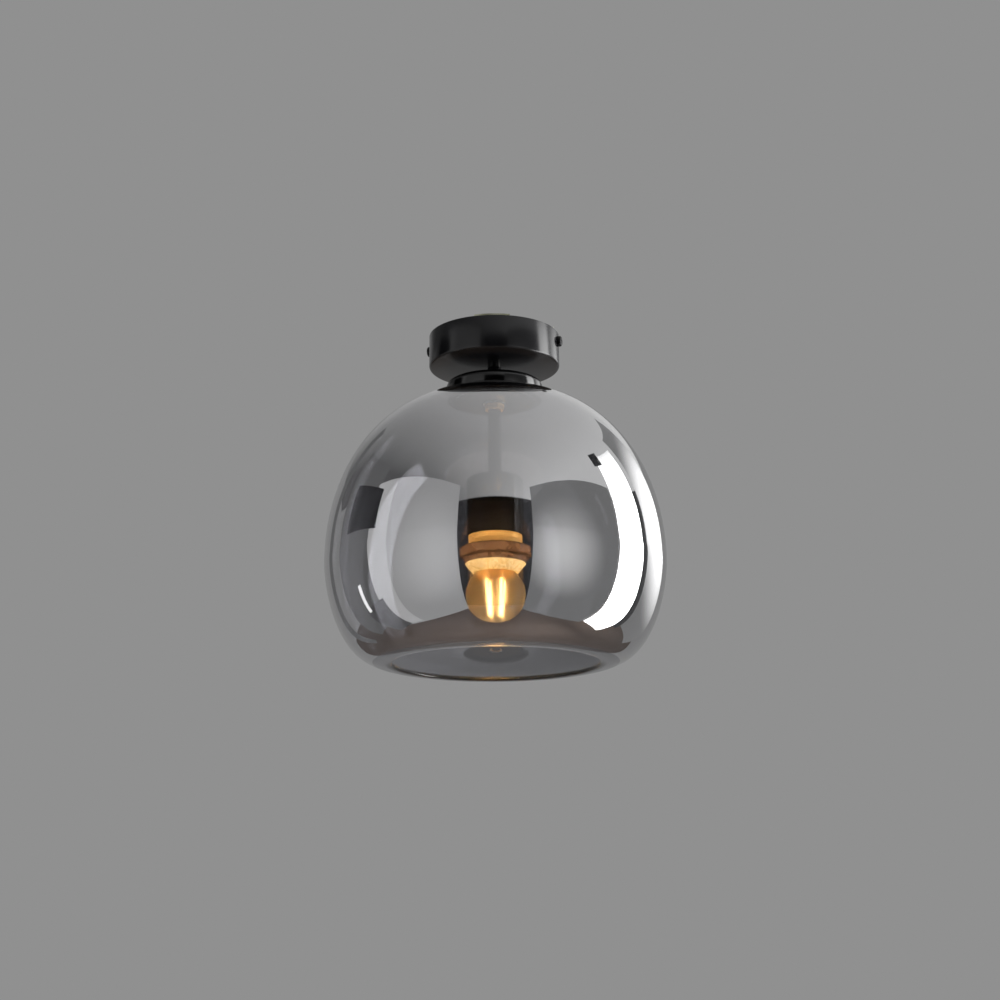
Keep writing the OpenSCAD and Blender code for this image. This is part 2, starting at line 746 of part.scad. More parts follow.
module bulb_insulator() {
    color("#1c1418") translate([0, 0, bulb_top - tip_h - thread_gap]) rotate_extrude()
        polygon([[0, 0], [tip_r + 0.6, 0], [insulator_r, -insulator_h],
            [insulator_r, -insulator_h - over], [0, -insulator_h - over]]);
}

module bulb_cap() {
    top = bulb_top - tip_h - insulator_h;
    color("#c8cacc") rotate_extrude() polygon([
        [insulator_r + slide_gap, top],
        [bulb_cap_r - over, top - 0.6],
        [bulb_cap_r, top - 2],
        [bulb_cap_r, bulb_rim + cap_rim_h],
        [cap_rim_r, bulb_rim + cap_rim_h - 0.6],
        [cap_rim_r, bulb_rim],
        [bulb_cap_r - cap_sheet, bulb_rim],
        [bulb_cap_r - cap_sheet, top - 2.2],
        [insulator_r + slide_gap, top - 1.4]]);
}

// Neck from the cap into the round bulb, then the bowl down to the axis
function bezier(a, b, c, d, t) = a * pow(1 - t, 3) + 3 * b * t * pow(1 - t, 2)
    + 3 * c * pow(t, 2) * (1 - t) + d * pow(t, 3);
function bulb_line(wall) = let (r = bulb_r - wall, n = neck_r - wall,
    join = [r * sin(neck_angle), bulb_centre + r * cos(neck_angle)],
    out = [cos(neck_angle), -sin(neck_angle)])
    concat([[n, bulb_rim + neck_depth]],
        [for (i = [0:neck_steps]) bezier([n, bulb_rim - 0.4], [n, bulb_rim - 0.4 - neck_pull],
            join - out * neck_pull, join, i / neck_steps)],
        [for (i = [1:bowl_steps]) let (t = neck_angle + (180 - neck_angle) * i / bowl_steps)
            [r * sin(t), bulb_centre + r * cos(t)]]);
module bulb_glass() {
    color("#e8c48a", 0.4) rotate_extrude() polygon(concat(bulb_line(0), backwards(bulb_line(bulb_t))));
}

module bulb_stem() {
    flare_r = neck_r - bulb_t - thread_gap;
    flare_z = bulb_rim + 3;
    color("#dfe6e8", 0.5) rotate_extrude() polygon([
        [0, flare_z],
        [flare_r, flare_z],
        [flare_r, flare_z - 1],
        [stem_r + 1, bulb_rim - 1],
        [stem_r, bulb_rim - 4],
        [stem_r, stem_tip],
        [rod_r, stem_tip - 2],
        [rod_r, filament_low - 0.6],
        [0, filament_low - 0.6]]);
}

module bulb_filaments() {
    color("#ffd27a") for (i = [0:filament_count - 1]) rotate([0, 0, 45 + 360 * i / filament_count])
        rod([filament_low_r, 0, filament_low], [filament_top_r, 0, filament_top], filament_d / 2);
}

module bulb_supports() {
    reach = filament_d / 2 + thread_gap;
    color("#b9bcc0") for (i = [0:filament_count - 1]) rotate([0, 0, 45 + 360 * i / filament_count]) {
        rod([stem_r + loose_gap, 0, stem_tip - 1], [filament_top_r, 0, filament_top + wire_r + slide_gap],
            wire_r);
        rod([rod_r + slide_gap, 0, filament_low], [filament_low_r - reach, 0, filament_low + 0.4],
            wire_r);
    }
}

mounting_bracket();
canopy();
canopy_screws();
terminal_block();
terminal_sleeves();
terminal_screws();
block_screws();
earth_screw();
earth_tag();
live_lead();
neutral_lead();
earth_lead();
stem_nut();
stem_washer();
threaded_pipe();
upper_sleeve();
glass_cap();
upper_gasket();
glass_shade();
lower_gasket();
clamp_disc();
clamp_washer();
clamp_nut();
lower_sleeve();
socket_cup();
cup_nut();
holder_dome();
holder_shell();
holder_insert();
terminal_posts();
post_screws();
screw_shell();
centre_contact();
ceramic_skirt();
shade_ring();
bulb_contact();
bulb_insulator();
bulb_cap();
bulb_glass();
bulb_stem();
bulb_filaments();
bulb_supports();
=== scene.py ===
import math

import bmesh
import bpy
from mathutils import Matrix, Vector


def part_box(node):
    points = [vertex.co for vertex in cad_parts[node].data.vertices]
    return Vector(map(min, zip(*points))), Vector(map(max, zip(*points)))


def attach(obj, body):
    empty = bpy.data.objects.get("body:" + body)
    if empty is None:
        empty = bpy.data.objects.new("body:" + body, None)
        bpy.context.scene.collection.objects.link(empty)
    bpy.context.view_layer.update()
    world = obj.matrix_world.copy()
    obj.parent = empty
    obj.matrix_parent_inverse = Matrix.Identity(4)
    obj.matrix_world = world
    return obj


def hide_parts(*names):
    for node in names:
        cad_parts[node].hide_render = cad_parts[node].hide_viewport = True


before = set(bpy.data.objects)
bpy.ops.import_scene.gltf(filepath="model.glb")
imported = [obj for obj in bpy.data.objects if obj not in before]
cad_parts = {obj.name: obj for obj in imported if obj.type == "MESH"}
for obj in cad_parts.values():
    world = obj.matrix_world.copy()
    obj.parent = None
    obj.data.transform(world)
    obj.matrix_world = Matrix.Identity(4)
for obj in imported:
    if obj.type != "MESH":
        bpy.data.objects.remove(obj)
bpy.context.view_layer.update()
print("packed model loaded")

mm = 0.001
fullTurn = 2 * math.pi


def fromHex(text):
    parts = [int(text[i:i + 2], 16) / 255 for i in (1, 3, 5)]
    linear = [p / 12.92 if p <= 0.04045 else ((p + 0.055) / 1.055) ** 2.4 for p in parts]
    return (*linear, 1.0)


def addNode(material, kind, settings=None, links=None):
    tree = material.node_tree
    node = tree.nodes.new(kind)
    for key, value in (settings or {}).items():
        if key == "stops":
            for i, (position, tint) in enumerate(value):
                stop = node.color_ramp.elements[i] if i < 2 else node.color_ramp.elements.new(position)
                stop.position = position
                stop.color = tint
        elif isinstance(key, int) or key in node.inputs:
            node.inputs[key].default_value = value
        else:
            setattr(node, key, value)
    for key, source in (links or {}).items():
        tree.links.new(source, node.inputs[key])
    return node


def newMaterial(name):
    material = bpy.data.materials.new(name)
    material.use_nodes = True
    material.node_tree.nodes.clear()
    return material


# Opaque surface: a tint between two colours, a roughness that varies with it, and a fine relief
def makeSurface(name, look):
    material = newMaterial(name)
    place = addNode(material, "ShaderNodeTexCoord").outputs["Object"]
    run = addNode(material, "ShaderNodeMapping", {"Scale": look.get("stretch", (1, 1, 1))},
                  {"Vector": place}).outputs["Vector"]
    patches = addNode(material, "ShaderNodeTexNoise",
                      {"Scale": 1000 / look["patchSize"], "Detail": 4.0}, {"Vector": run})
    tint = addNode(material, "ShaderNodeValToRGB",
                   {"stops": [(0.35, fromHex(look["colours"][0])), (0.65, fromHex(look["colours"][1]))]},
                   {"Fac": patches.outputs["Fac"]})
    low, high = look["roughness"]
    rough = addNode(material, "ShaderNodeMapRange",
                    {"From Min": 0.3, "From Max": 0.7, "To Min": low, "To Max": high},
                    {"Value": patches.outputs["Fac"]})
    grain = addNode(material, "ShaderNodeTexNoise",
                    {"Scale": 1000 / look["grainSize"], "Detail": 3.0}, {"Vector": run})
    relief = addNode(material, "ShaderNodeBump",
                     {"Strength": 1.0, "Distance": look["grainDepth"] * mm},
                     {"Height": grain.outputs["Fac"]})
    settings = {"Metallic": look.get("metallic", 0.0), "IOR": look.get("ior", 1.5)}
    settings.update(look.get("sockets", {}))
    shader = addNode(material, "ShaderNodeBsdfPrincipled", settings,
                     {"Base Color": tint.outputs["Color"], "Roughness": rough.outputs["Result"],
                      "Normal": relief.outputs["Normal"]})
    addNode(material, "ShaderNodeOutputMaterial", {}, {"Surface": shader.outputs["BSDF"]})
    return material


# Glass: lamps reach what is behind it as through a plain tinted pane, everything else sees real glass.
# A share of haze spreads the glow of what burns behind it, and a film can be thinner near the axis.
def makeGlass(name, look):
    material = newMaterial(name)
    place = addNode(material, "ShaderNodeTexCoord").outputs["Object"]
    waves = addNode(material, "ShaderNodeTexNoise",
                    {"Scale": 1000 / look["waveSize"], "Detail": 1.0}, {"Vector": place})
    relief = addNode(material, "ShaderNodeBump", {"Strength": 1.0, "Distance": look["waveDepth"] * mm},
                     {"Height": waves.outputs["Fac"]})
    settings = {"Base Color": fromHex(look["colour"]), "Roughness": look["roughness"], "IOR": look["ior"],
                "Transmission Weight": 1.0, "Metallic": look.get("mirror", 0.0)}
    settings.update(look.get("sockets", {}))
    glass = addNode(material, "ShaderNodeBsdfPrincipled", settings, {"Normal": relief.outputs["Normal"]})
    seen = glass.outputs["BSDF"]
    if "haze" in look:
        milky = addNode(material, "ShaderNodeBsdfPrincipled",
                        dict(settings, Roughness=look["haze"]["roughness"]))
        seen = addNode(material, "ShaderNodeMixShader", {0: look["haze"]["share"]},
                       {1: seen, 2: milky.outputs["BSDF"]}).outputs["Shader"]
    if "thinFilm" in look:
        thin = look["thinFilm"]
        flat = addNode(material, "ShaderNodeVectorMath", {"operation": "MULTIPLY", 1: (1, 1, 0)},
                       {0: place})
        across = addNode(material, "ShaderNodeVectorMath", {"operation": "LENGTH"},
                         {0: flat.outputs["Vector"]})
        film = addNode(material, "ShaderNodeMapRange",
                       {"From Min": thin["inner"] * mm, "From Max": thin["outer"] * mm,
                        "To Min": thin["mirror"], "To Max": look["mirror"]},
                       {"Value": across.outputs["Value"]})
        material.node_tree.links.new(film.outputs["Result"], glass.inputs["Metallic"])
    pane = addNode(material, "ShaderNodeBsdfTransparent", {"Color": fromHex(look["shade"])})
    rays = addNode(material, "ShaderNodeLightPath")
    both = addNode(material, "ShaderNodeMixShader", {}, {0: rays.outputs["Is Shadow Ray"],
                   1: seen, 2: pane.outputs["BSDF"]})
    addNode(material, "ShaderNodeOutputMaterial", {}, {"Surface": both.outputs["Shader"]})
    return material


def startPiece(name, points):
    if bpy.context.object and bpy.context.object.mode != "OBJECT":
        bpy.ops.object.mode_set(mode="OBJECT")
    bpy.ops.object.select_all(action="DESELECT")
    bpy.ops.mesh.primitive_plane_add(size=mm, location=(0, 0, 0))
    piece = bpy.context.object
    piece.name = name
    bpy.ops.object.mode_set(mode="EDIT")
    bpy.ops.mesh.merge(type="CENTER")
    bpy.ops.transform.translate(value=(points[0][0] * mm, 0, points[0][1] * mm))
    for before, after in zip(points, points[1:]):
        step = ((after[0] - before[0]) * mm, 0, (after[1] - before[1]) * mm)
        bpy.ops.mesh.extrude_vertices_move(TRANSFORM_OT_translate={"value": step})
    bpy.ops.mesh.select_all(action="SELECT")
    bpy.ops.mesh.remove_doubles(threshold=1e-7)
    return piece


def pickPoints(piece, test):
    mesh = bmesh.from_edit_mesh(piece.data)
    bpy.ops.mesh.select_all(action="DESELECT")
    for point in mesh.verts:
        if test(point.co / mm):
            point.select_set(True)
    mesh.select_flush(True)
    bmesh.update_edit_mesh(piece.data)


def pickFaces(piece, test):
    mesh = bmesh.from_edit_mesh(piece.data)
    bpy.ops.mesh.select_all(action="DESELECT")
    for face in mesh.faces:
        face.select_set(test(face.calc_center_median() / mm, face.normal))
    bmesh.update_edit_mesh(piece.data)


def closePiece(piece, smooth):
    bpy.ops.mesh.select_all(action="SELECT")
    bpy.ops.mesh.remove_doubles(threshold=1e-6)
    bpy.ops.mesh.normals_make_consistent(inside=False)
    bpy.ops.object.mode_set(mode="OBJECT")
    bpy.ops.object.shade_smooth_by_angle(angle=math.radians(smooth))


# A turned piece: its half outline, points (radius, height, corner radius), is spun round the axis
def turnPiece(name, outline, steps=128, smooth=40):
    piece = startPiece(name, outline + outline[:1])
    for corner in outline:
        if len(corner) > 2:
            pickPoints(piece, lambda at: math.hypot(at.x - corner[0], at.z - corner[1]) < 0.01)
            bpy.ops.mesh.bevel(affect="VERTICES", offset=corner[2] * mm, offset_type="OFFSET",
                               segments=6 if corner[2] > 0.6 else 3)
    bpy.ops.mesh.select_all(action="SELECT")
    bpy.ops.mesh.spin(steps=steps, angle=fullTurn, center=(0, 0, 0), axis=(0, 0, 1))
    closePiece(piece, smooth)
    return piece


def dress(piece, body, slot, materials, *nodes):
    piece.data.materials.clear()
    for material in materials:
        piece.data.materials.append(material)
    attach(piece, body)
    if nodes:
        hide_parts(*nodes)
    return piece


def levels(node):
    low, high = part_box(node)
    return low.z / mm, high.z / mm


def reach(node):
    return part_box(node)[1].x / mm


# Points of an upright line from one level to another, close enough together for a thread
def rise(radius, start, end, steps):
    return [(radius, start + (end - start) * i / steps) for i in range(steps + 1)]


# A rolled round thread: the wall goes in and out along a right-hand helix, and both ends fade out
def rollThread(piece, thread):
    for point in piece.data.vertices:
        at = point.co / mm
        room = min(at.z - thread["low"], thread["high"] - at.z)
        out = math.hypot(at.x, at.y)
        if room > 0 and out > thread["inside"]:
            turn = at.z / thread["pitch"] - math.atan2(at.y, at.x) / fullTurn
            full = thread["depth"] * min(2 * room / thread["pitch"], 1)
            depth = full * (0.5 - 0.5 * math.cos(fullTurn * turn))
            point.co.x *= 1 - depth / out
            point.co.y *= 1 - depth / out


lacquer = {"colours": ("#121214", "#17171a"), "patchSize": 30, "roughness": (0.17, 0.23),
           "grainSize": 1.6, "grainDepth": 0.004, "ior": 1.46}
glossLacquer = {"colours": ("#080809", "#0b0b0c"), "patchSize": 25, "roughness": (0.10, 0.15),
                "grainSize": 2.0, "grainDepth": 0.003}
# Black lacquered steel: deep black with soft reflections and a faint orange peel
blackLacquer = makeSurface("black_lacquered_steel", lacquer)
# The cap's lacquer is glossier, with crisp highlights on its shoulder
capLacquer = makeSurface("gloss_black_lacquer", glossLacquer)
# The socket cup is polished further, so the lit filaments show in it as soft gold streaks
cupLacquer = makeSurface("polished_black_lacquer", dict(glossLacquer, roughness=(0.03, 0.05)))
# Blackened screws: darker and duller than the canopy
blackScrews = makeSurface("black_oxide_steel", {"colours": ("#0b0b0c", "#17171a"), "patchSize": 3,
    "roughness": (0.3, 0.45), "metallic": 0.7, "grainSize": 0.4, "grainDepth": 0.004})
# Zinc plating with yellow passivation: patchy yellow-grey with a hint of green
yellowZinc = makeSurface("yellow_passivated_steel", {"colours": ("#a5a68c", "#c8c9b4"), "patchSize": 9,
    "roughness": (0.28, 0.42), "metallic": 1.0, "grainSize": 0.5, "grainDepth": 0.003})
# Bright zinc: cool grey, slightly blotched
brightZinc = makeSurface("zinc_plated_steel", {"colours": ("#a6aab0", "#c3c7cb"), "patchSize": 3,
    "roughness": (0.22, 0.36), "metallic": 1.0, "grainSize": 0.3, "grainDepth": 0.002})
# Turned brass with a dulled skin: fine rings that stretch each highlight
turnedBrass = makeSurface("turned_brass", {"colours": ("#c79f5e", "#dcbb80"), "patchSize": 2,
    "stretch": (0.05, 0.05, 1), "roughness": (0.26, 0.38), "metallic": 0.8, "grainSize": 0.25,
    "grainDepth": 0.002})
# Lacquered brass strip for contacts and posts
stripBrass = makeSurface("brass_strip", {"colours": ("#b4924c", "#cfb069"), "patchSize": 4,
    "roughness": (0.26, 0.38), "metallic": 1.0, "grainSize": 0.4, "grainDepth": 0.002})
# Phenolic moulding: dark brown with a dull moulded skin
brownPhenolic = makeSurface("brown_phenolic", {"colours": ("#1d1612", "#2b211b"), "patchSize": 5,
    "roughness": (0.38, 0.5), "grainSize": 0.6, "grainDepth": 0.006})
# Black phenolic ring with a polished skin that catches the bulb's light along its edges
blackPhenolic = makeSurface("black_phenolic", {"colours": ("#241a14", "#30241c"), "patchSize": 6,
    "roughness": (0.14, 0.22), "grainSize": 0.5, "grainDepth": 0.003})
# White nylon: slightly milky, with a dull sheen
whiteNylon = makeSurface("white_nylon", {"colours": ("#dcd8cc", "#e9e6dc"), "patchSize": 6,
    "roughness": (0.42, 0.52), "grainSize": 0.7, "grainDepth": 0.006,
    "sockets": {"Subsurface Weight": 0.15, "Subsurface Radius": (0.002, 0.002, 0.0015)}})
# Steatite: unglazed cream ceramic with tiny dark specks under a thin wet-looking glaze
creamCeramic = makeSurface("glazed_steatite", {"colours": ("#d9c795", "#f4ecd2"), "patchSize": 1.6,
    "roughness": (0.22, 0.34), "grainSize": 1.3, "grainDepth": 0.05,
    "sockets": {"Coat Weight": 0.3, "Coat Roughness": 0.12}})
# Black rubber: matt, faintly dusty
blackRubber = makeSurface("black_rubber", {"colours": ("#121212", "#1c1c1c"), "patchSize": 3,
    "roughness": (0.6, 0.75), "grainSize": 0.4, "grainDepth": 0.01})
# Clear silicone: milky and soft
clearSilicone = makeSurface("clear_silicone", {"colours": ("#c8c8c2", "#dadad6"), "patchSize": 4,
    "roughness": (0.35, 0.45), "grainSize": 0.6, "grainDepth": 0.005,
    "sockets": {"Subsurface Weight": 0.3, "Subsurface Radius": (0.003, 0.003, 0.003)}})
# PVC insulation, brown and blue: smooth with a soft sheen
brownPvc = makeSurface("brown_pvc", {"colours": ("#54301a", "#6b4226"), "patchSize": 3,
    "roughness": (0.38, 0.48), "grainSize": 0.5, "grainDepth": 0.004})
bluePvc = makeSurface("blue_pvc", {"colours": ("#234488", "#3159a8"), "patchSize": 3,
    "roughness": (0.38, 0.48), "grainSize": 0.5, "grainDepth": 0.004})
# Nickel-plated brass: warm bright grey
nickel = makeSurface("nickel_plate", {"colours": ("#b9b5ab", "#d0ccc3"), "patchSize": 2,
    "roughness": (0.16, 0.28), "metallic": 1.0, "grainSize": 0.3, "grainDepth": 0.002})
# Tin solder: dull grey and lumpy
solder = makeSurface("tin_solder", {"colours": ("#8f9296", "#b2b5b8"), "patchSize": 1.5,
    "roughness": (0.3, 0.45), "metallic": 1.0, "grainSize": 1.0, "grainDepth": 0.03})
# Black glass around the bulb's contact
blackGlass = makeSurface("black_vitrite", {"colours": ("#120c12", "#1d141c"), "patchSize": 3,
    "roughness": (0.08, 0.14), "grainSize": 1.5, "grainDepth": 0.004})
# Steel wire that holds the filaments
wire = makeSurface("nickel_wire", {"colours": ("#8d8a84", "#aaa7a0"), "patchSize": 1,
    "roughness": (0.25, 0.35), "metallic": 1.0, "grainSize": 0.3, "grainDepth": 0.001})

smokedGlass = {"colour": "#e4e4e5", "roughness": 0.006, "ior": 1.5, "mirror": 0.52,
               "shade": "#a8a8a8", "waveSize": 60, "waveDepth": 0.02}
# Smoked glass with a thin metal film outside, a grey half mirror that thins out towards the cap
mirrorFilm = makeGlass("smoked_mirror_glass", dict(smokedGlass,
    thinFilm={"inner": 40, "outer": 62, "mirror": 0.06}))
# The same glass inside and on the lip, where it has no film
glassInside = makeGlass("smoked_glass", dict(smokedGlass, mirror=0.0, colour="#b6b6ba", shade="#dcdcdc"))
# The lip is fire polished and a little wavy, so its edge is softly grey
lipGlass = makeGlass("fire_polished_lip", dict(smokedGlass, mirror=0.0, colour="#ededf0", shade="#f0f0f0",
    roughness=0.22))
# Amber bulb glass: thin and clear, with a slight haze that spreads the filaments' glow
bulbGlass = makeGlass("amber_bulb_glass", {"colour": "#f5dcae", "roughness": 0.01, "ior": 1.47,
    "shade": "#f6e4c2", "waveSize": 12, "waveDepth": 0.01, "haze": {"share": 0.38, "roughness": 0.4}})
# Lead-free glass of the bulb's stem
stemGlass = makeGlass("clear_stem_glass", {"colour": "#f4f1e8", "roughness": 0.02, "ior": 1.5,
    "shade": "#f4f1e8", "waveSize": 6, "waveDepth": 0.02})


earthWire = {"green": "#3d7a2c", "yellow": "#d8c52e", "blend": 0.1, "roughness": 0.42}


# PVC with a yellow and a green half, as an earth wire has
def makeEarthPvc():
    material = newMaterial("green_yellow_pvc")
    place = addNode(material, "ShaderNodeTexCoord").outputs["Object"]
    parts = addNode(material, "ShaderNodeSeparateXYZ", {}, {"Vector": place})
    side = addNode(material, "ShaderNodeMapRange",
                   {"From Min": -earthWire["blend"] * mm, "From Max": earthWire["blend"] * mm},
                   {"Value": parts.outputs["X"]})
    tint = addNode(material, "ShaderNodeValToRGB",
                   {"stops": [(0.45, fromHex(earthWire["green"])), (0.55, fromHex(earthWire["yellow"]))]},
                   {"Fac": side.outputs["Result"]})
    shader = addNode(material, "ShaderNodeBsdfPrincipled", {"Roughness": earthWire["roughness"]},
                     {"Base Color": tint.outputs["Color"]})
    addNode(material, "ShaderNodeOutputMaterial", {}, {"Surface": shader.outputs["BSDF"]})
    return material


filaments = {"dim": "#ffdba0", "bright": "#ffeccb", "body": "#f0c040", "roughness": 0.5,
             "beadScale": 900.0, "glow": 520.0}


# Phosphor on a lit filament stick: warm white, brighter in its beads
def makeFilament():
    material = newMaterial("lit_phosphor")
    place = addNode(material, "ShaderNodeTexCoord").outputs["Object"]
    beads = addNode(material, "ShaderNodeTexNoise", {"Scale": filaments["beadScale"], "Detail": 1.0},
                    {"Vector": place})
    glow = addNode(material, "ShaderNodeValToRGB",
                   {"stops": [(0.3, fromHex(filaments["dim"])), (0.7, fromHex(filaments["bright"]))]},
                   {"Fac": beads.outputs["Fac"]})
    shader = addNode(material, "ShaderNodeBsdfPrincipled",
                     {"Base Color": fromHex(filaments["body"]), "Roughness": filaments["roughness"],
                      "Emission Strength": filaments["glow"]},
                     {"Emission Color": glow.outputs["Color"]})
    addNode(material, "ShaderNodeOutputMaterial", {}, {"Surface": shader.outputs["BSDF"]})
    return material


earthPvc = makeEarthPvc()
litPhosphor = makeFilament()
print("materials made")

# Canopy and stem
canopy = {"sheet": 0.8, "edge": 1.6, "rim": 0.25, "pipeHole": 4.15, "screwHole": 2.3}
low, high = levels("canopy")
r, t, e = reach("canopy"), canopy["sheet"], canopy["edge"]
canopyBowl = turnPiece("canopy_bowl", [
    (canopy["pipeHole"], low), (r, low, e), (r, high, canopy["rim"]), (r - t, high, canopy["rim"]),
    (r - t, low + t, e - t), (canopy["pipeHole"], low + t)], steps=192)
# the two screw holes in its side
screwLevel = sum(levels("canopy_screws")) / 2
bpy.ops.mesh.primitive_cylinder_add(vertices=48, radius=canopy["screwHole"] * mm, depth=3 * r * mm,
                                    location=(0, 0, screwLevel * mm), rotation=(0, math.pi / 2, 0))
drill = bpy.context.object
cut = canopyBowl.modifiers.new("screw_holes", "BOOLEAN")
cut.object = drill
cut.operation = "DIFFERENCE"
bpy.ops.object.select_all(action="DESELECT")
bpy.context.view_layer.objects.active = canopyBowl
canopyBowl.select_set(True)
bpy.ops.object.modifier_apply(modifier="screw_holes")
bpy.ops.object.shade_smooth_by_angle(angle=math.radians(40))
bpy.data.objects.remove(drill)
dress(canopyBowl, "fixture", "black_paint", [blackLacquer], "canopy")

sleeve = {"radius": 5, "bore": 4.15, "edge": 0.3}
for node in ("upper_sleeve", "lower_sleeve"):
    low, high = levels(node)
    r, b, e = sleeve["radius"], sleeve["bore"], sleeve["edge"]
    tube = turnPiece(node + "_tube", [(b, low), (r, low, e), (r, high, e), (b, high)], steps=96)
    dress(tube, "fixture", "black_paint", [blackLacquer], node)
print("canopy and stem made")

# Glass cap and globe
cap = {"sheet": 1, "edge": 4, "rim": 0.3, "pipeHole": 4.15}
low, high = levels("glass_cap")
r, t, e = reach("glass_cap"), cap["sheet"], cap["edge"]
capBowl = turnPiece("cap_bowl", [
    (cap["pipeHole"], high), (r, high, e), (r, low, cap["rim"]), (r - t, low, cap["rim"]),
    (r - t, high - t, e - t), (cap["pipeHole"], high - t)], steps=160)
dress(capBowl, "fixture", "black_gloss", [capLacquer], "glass_cap")

globe = {"radius": 125, "wall": 3, "crown": 131.9, "belly": 74, "mouth": 75, "hole": 15,
         "crownAcross": 2.44, "crownUp": 2.06, "bellyAcross": 2.59, "bellyDown": 1.66,
         "crownSteps": 44, "bellySteps": 36, "lipSteps": 12,
         "filmSlope": 0.2, "filmEdge": 1.2, "lipShare": 0.52}
globeBottom = levels("glass_shade")[0]
widest = globeBottom + globe["belly"]
lipRadius = globe["mouth"] + globe["wall"] / 2


def wallLine(inset):
    full = globe["radius"] - inset
    crown = globe["crown"] - inset
    belly = globe["belly"] - inset
    start = math.asin((globe["hole"] / full) ** (globe["crownAcross"] / 2))
    line = []
    for i in range(globe["crownSteps"] + 1):
        a = start + (math.pi / 2 - start) * i / globe["crownSteps"]
        line.append((full * math.sin(a) ** (2 / globe["crownAcross"]),
                     widest + crown * max(math.cos(a), 0) ** (2 / globe["crownUp"])))
    for i in range(1, globe["bellySteps"] + 1):
        a = math.pi / 2 * (1 - i / globe["bellySteps"])
        line.append((lipRadius + (full - lipRadius) * max(math.sin(a), 0) ** (2 / globe["bellyAcross"]),
                     widest - belly * math.cos(a) ** (2 / globe["bellyDown"])))
    return line


def lipLine():
    half = globe["wall"] / 2
    steps = globe["lipSteps"]
    angles = [-math.pi / 2 - math.pi * i / steps for i in range(1, steps)]
    return [(lipRadius + half * math.cos(a), globeBottom + half + half * math.sin(a)) for a in angles]


shade = turnPiece("globe_glass", wallLine(0) + lipLine() + wallLine(globe["wall"])[::-1],
                  steps=224, smooth=50)
dress(shade, "fixture", "smoked_glass", [mirrorFilm, glassInside, lipGlass], "glass_shade")
# film outside, plain glass inside, and the lip
middle = Vector((0, 0, widest))
lipEnd = lipRadius + globe["wall"] * globe["lipShare"]
for face in shade.data.polygons:
    at = face.center / mm
    outwards = face.normal.dot((at - middle).normalized()) > globe["filmSlope"]
    face.material_index = 0 if outwards and at.z > globeBottom + globe["filmEdge"] else 1
    if math.hypot(at.x, at.y) < lipEnd and at.z < widest:
        face.material_index = 2
print("globe made")

# Socket cup and lampholder
cup = {"radius": 21, "sheet": 0.9, "edge": 4, "rim": 0.25, "pipeHole": 4.15}
low, high = levels("socket_cup")
r, t, e = cup["radius"], cup["sheet"], cup["edge"]
cupBowl = turnPiece("cup_bowl", [
    (cup["pipeHole"], high), (r, high, e), (r, low, cup["rim"]), (r - t, low, cup["rim"]),
    (r - t, high - t, e - t), (cup["pipeHole"], high - t)], steps=160)
dress(cupBowl, "fixture", "black_gloss", [cupLacquer], "socket_cup")

shell = {"radius": 19.75, "wall": 1.4, "edge": 0.3, "innerEdge": 0.2,
         "groove": 0.4, "grooveWidth": 0.8, "grooveDrop": 3.2, "grooveEdge": 0.15}
low, high = levels("holder_shell")
grooveTop = levels("socket_cup")[0] - shell["grooveDrop"]
grooveLow = grooveTop - shell["grooveWidth"]
r, t, e = shell["radius"], shell["wall"], shell["edge"]
shellTube = turnPiece("brass_shell", [
    (r - t, low, shell["innerEdge"]), (r, low, e), (r, grooveLow, shell["grooveEdge"]),
    (r - shell["groove"], grooveLow), (r - shell["groove"], grooveTop),
    (r, grooveTop, shell["grooveEdge"]),
    (r, high, e), (r - t, high, shell["innerEdge"])], steps=160)
dress(shellTube, "fixture", "brass", [turnedBrass], "holder_shell")

ring = {"bore": 20.05, "edge": 1.3, "lip": 0.5, "collar": 22.6, "collarBore": 21.3, "collarEdge": 0.3,
        "collarRoot": 0.4, "drop": 1.3}
low, high = levels("shade_ring")
under = levels("holder_shell")[0]
r, b = reach("shade_ring"), ring["bore"]
shadeRing = turnPiece("shade_ring_turned", [
    (b, under), (ring["collarBore"], under), (ring["collarBore"], low),
    (ring["collar"], low, ring["collarEdge"]),
    (ring["collar"], under - ring["drop"], ring["collarRoot"]),
    (r, under, ring["edge"]), (r, high, ring["edge"]), (b, high, ring["lip"])], steps=160)
dress(shadeRing, "fixture", "black_plastic", [blackPhenolic], "shade_ring")

skirt = {"bore": 14.0, "fit": 18.1, "flange": 21, "nose": 22.4, "mouth": 15.6, "wall": 0.9,
         "edge": 0.3, "mouthEdge": 0.4}
low, high = levels("ceramic_skirt")
flangeTop = levels("holder_shell")[0]
flangeLow = levels("shade_ring")[0]
e, m = skirt["edge"], skirt["mouthEdge"]
skirtRing = turnPiece("ceramic_nose", [
    (skirt["bore"], high, e), (skirt["fit"], high, e), (skirt["fit"], flangeTop),
    (skirt["flange"], flangeTop, e), (skirt["flange"], flangeLow), (skirt["nose"], flangeLow, e),
    (skirt["mouth"] + skirt["wall"], low, m), (skirt["mouth"], low, m),
    (skirt["bore"], flangeLow)], steps=160)
dress(skirtRing, "fixture", "ceramic", [creamCeramic], "ceramic_skirt")

